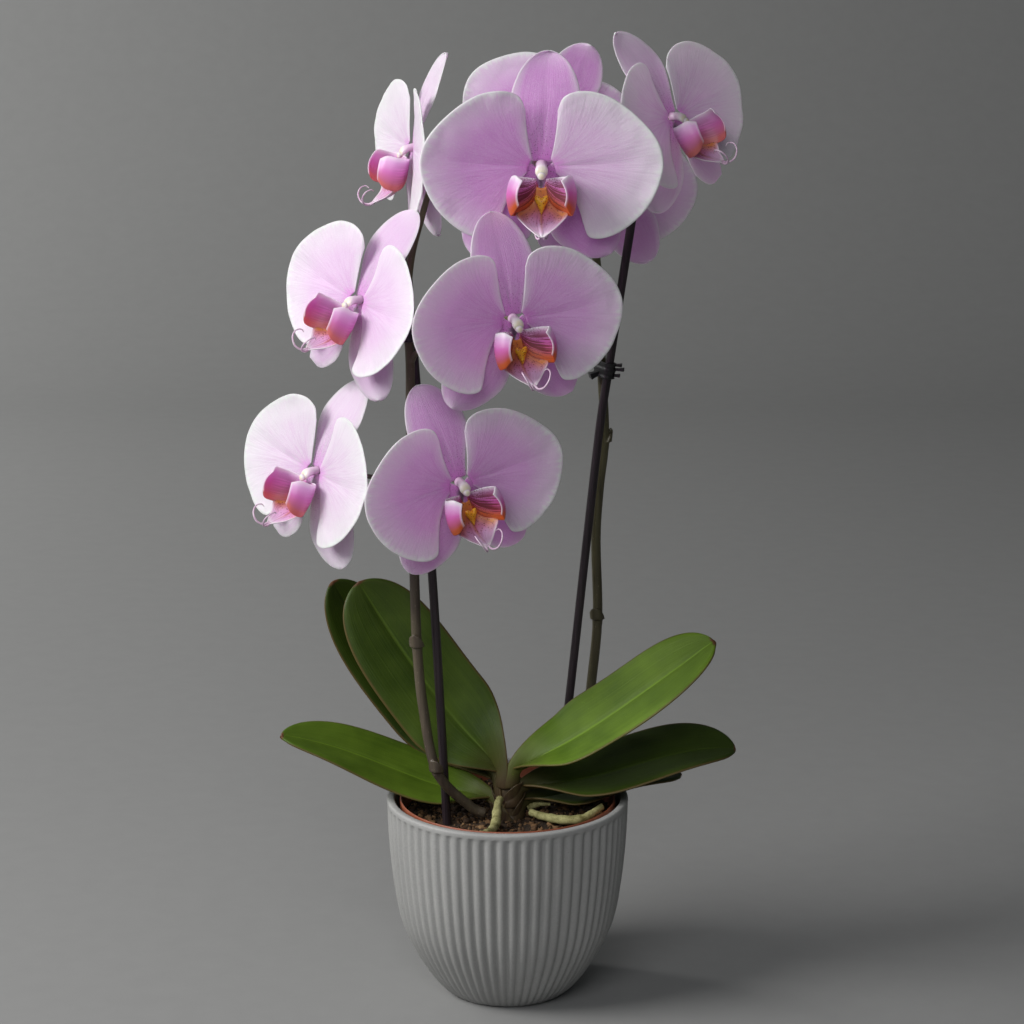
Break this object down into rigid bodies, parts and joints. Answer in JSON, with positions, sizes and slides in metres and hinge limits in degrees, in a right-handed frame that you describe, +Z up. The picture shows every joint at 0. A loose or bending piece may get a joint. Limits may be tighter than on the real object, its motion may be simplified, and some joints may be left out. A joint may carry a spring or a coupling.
{
  "type": "potted moth orchid",
  "caption": "Flowering moth orchid with staked arching stems, broad leaves and air roots, in a nursery pot set inside a round ribbed ceramic cover pot.",
  "frame": {"origin": "centre of the cover pot's flat underside, on the surface it stands on", "axes": "+Z up along the pot's axis; -Y is the front, where the largest flower faces; +X is the plant's right as seen from the front"},
  "size_m": [0.2696, 0.1968, 0.5295],
  "materials": {
    "pot": "matte",
    "grow_pot": "satin",
    "mix": "matte",
    "crown": "satin",
    "leaf": "satin",
    "root": "matte",
    "stem": "satin",
    "stake": "satin",
    "clip": "satin",
    "petal": "matte",
    "lip": "satin"
  },
  "bodies": {
    "root": {"cover_pot": "pot", "grow_pot": "grow_pot", "potting_mix": "mix", "crown": "crown", "leaf_left_low": "leaf", "leaf_left_tall": "leaf", "leaf_left_back": "leaf", "leaf_right_high": "leaf", "leaf_right_middle": "leaf", "leaf_right_low": "leaf", "root_front": "root", "root_right": "root", "root_back": "root", "flower_stem_left": "stem", "flower_stem_right": "stem", "stake_left": "stake", "stake_right": "stake", "clip_left": "clip", "clip_right": "clip", "flower_1_sepals": "petal", "flower_1_petal_left": "petal", "flower_1_petal_right": "petal", "flower_1_lip": "lip", "flower_2_sepals": "petal", "flower_2_petal_left": "petal", "flower_2_petal_right": "petal", "flower_2_lip": "lip", "flower_3_sepals": "petal", "flower_3_petal_left": "petal", "flower_3_petal_right": "petal", "flower_3_lip": "lip", "flower_4_sepals": "petal", "flower_4_petal_left": "petal", "flower_4_petal_right": "petal", "flower_4_lip": "lip", "flower_5_sepals": "petal", "flower_5_petal_left": "petal", "flower_5_petal_right": "petal", "flower_5_lip": "lip", "flower_6_sepals": "petal", "flower_6_petal_left": "petal", "flower_6_petal_right": "petal", "flower_6_lip": "lip", "flower_7_sepals": "petal", "flower_7_petal_left": "petal", "flower_7_petal_right": "petal", "flower_7_lip": "lip", "flower_8_sepals": "petal", "flower_8_petal_left": "petal", "flower_8_petal_right": "petal", "flower_8_lip": "lip", "flower_9_sepals": "petal", "flower_9_petal_left": "petal", "flower_9_petal_right": "petal", "flower_9_lip": "lip"}
  },
  "joints": []
}
